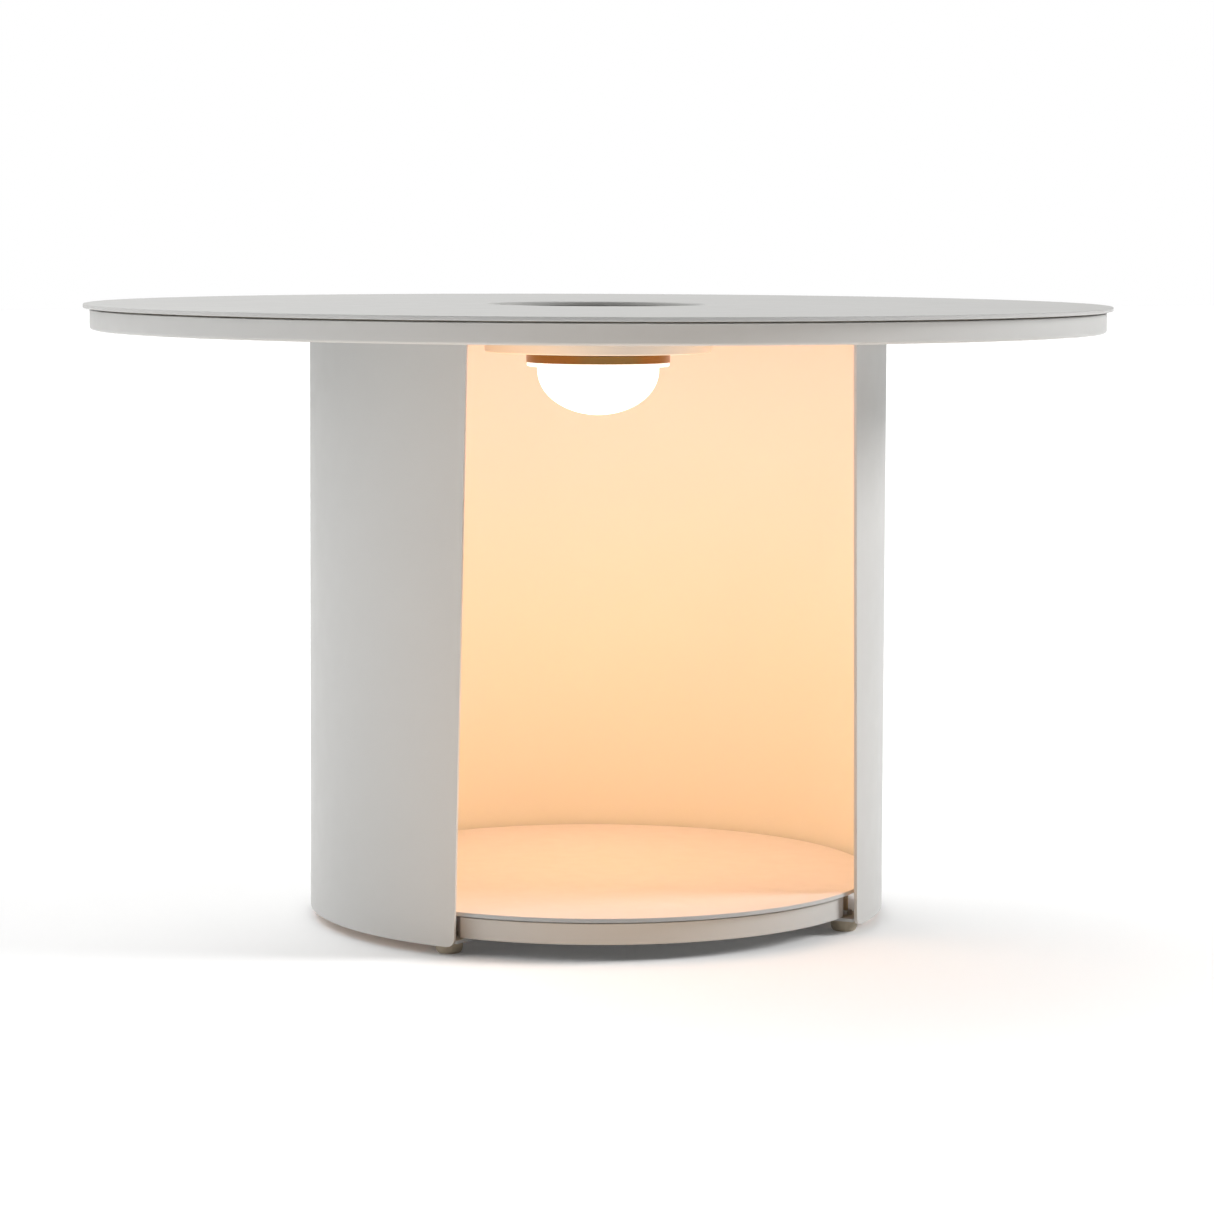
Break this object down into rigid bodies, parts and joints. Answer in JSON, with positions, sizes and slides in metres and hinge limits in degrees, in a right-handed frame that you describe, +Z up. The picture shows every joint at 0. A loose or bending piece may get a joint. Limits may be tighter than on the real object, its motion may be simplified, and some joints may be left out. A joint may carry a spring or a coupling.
{
  "type": "round table with built-in lamp",
  "caption": "Round sheet-metal table on a drum pedestal open at the front, with a shelf tray and a twist-lock opal lamp under the top.",
  "frame": {"origin": "on the floor, under the centre of the top", "axes": "+Z up; the pedestal opens towards -Y; +X to the right seen from the front"},
  "size_m": [1.25, 1.25, 0.748],
  "materials": {
    "paint": "matt powder coat",
    "dark_rubber": "matt",
    "brass": "satin",
    "zinc": "zinc plated",
    "opal": "opal, lit",
    "silicone": "matt",
    "aluminium": "turned",
    "board_white": "solder mask",
    "cell_wrap": "shrink film",
    "black_plastic": "moulded",
    "lead_grey": "wire jacket",
    "spring_steel": "drawn wire",
    "glide_beige": "moulded"
  },
  "bodies": {
    "table": {"tabletop": "paint", "rim_frame": "paint", "hub_plate": "paint", "well_pan": "paint", "pedestal_wall": "paint", "ceiling_plate": "paint", "lamp_housing": "paint", "lamp_base": "paint", "tray_plate": "paint", "tray_skirt": "paint", "rib_1": "paint", "rib_2": "paint", "rib_3": "paint", "rib_4": "paint", "rib_5": "paint", "rib_6": "paint", "rib_7": "paint", "rib_8": "paint", "foot_bracket_front_left": "paint", "foot_bracket_front_right": "paint", "foot_bracket_back_right": "paint", "foot_bracket_back_left": "paint", "edge_reveal_strip": "dark_rubber", "tray_reveal_strip": "dark_rubber", "lead_grommet": "dark_rubber", "brass_ring": "brass", "pedestal_bolt_1": "zinc", "pedestal_bolt_2": "zinc", "pedestal_bolt_3": "zinc", "pedestal_bolt_4": "zinc", "pedestal_bolt_5": "zinc", "pedestal_bolt_6": "zinc", "pedestal_bolt_7": "zinc", "pedestal_bolt_8": "zinc", "lamp_screw_1": "zinc", "lamp_screw_2": "zinc", "lamp_screw_3": "zinc", "lock_nut_front_left": "zinc", "lock_nut_front_right": "zinc", "lock_nut_back_right": "zinc", "lock_nut_back_left": "zinc", "shade_gasket": "silicone", "heat_spreader": "aluminium", "led_board": "board_white", "battery_pack": "cell_wrap", "battery_cradle": "black_plastic", "control_module": "black_plastic", "switch_housing": "black_plastic", "charging_socket": "black_plastic", "battery_lead": "lead_grey", "lamp_lead": "lead_grey", "switch_lead": "lead_grey", "socket_lead": "lead_grey", "button_spring": "spring_steel"},
    "shade": {"opal_shade": "opal"},
    "button": {"push_button": "paint"},
    "foot_front_left": {"levelling_foot_front_left": "glide_beige"},
    "foot_front_right": {"levelling_foot_front_right": "glide_beige"},
    "foot_back_right": {"levelling_foot_back_right": "glide_beige"},
    "foot_back_left": {"levelling_foot_back_left": "glide_beige"}
  },
  "joints": [
    {"name": "shade_twist", "type": "hinge", "parent": "table", "child": "shade", "pos_m": [0, 0, 0.6765], "axis": [0, 0, 1], "range_deg": [0, 30]},
    {"name": "button_press", "type": "slide", "parent": "table", "child": "button", "axis": [0, 0, 1], "range_m": [0, 0.0015], "stiffness_N_per_m": 500, "springref_m": -0.002, "deforming": ["button_spring"]},
    {"name": "level_front_left", "type": "slide", "parent": "table", "child": "foot_front_left", "axis": [0, 0, -1], "range_m": [0, 0.012]},
    {"name": "level_front_right", "type": "slide", "parent": "table", "child": "foot_front_right", "axis": [0, 0, -1], "range_m": [0, 0.012]},
    {"name": "level_back_right", "type": "slide", "parent": "table", "child": "foot_back_right", "axis": [0, 0, -1], "range_m": [0, 0.012]},
    {"name": "level_back_left", "type": "slide", "parent": "table", "child": "foot_back_left", "axis": [0, 0, -1], "range_m": [0, 0.012]}
  ]
}
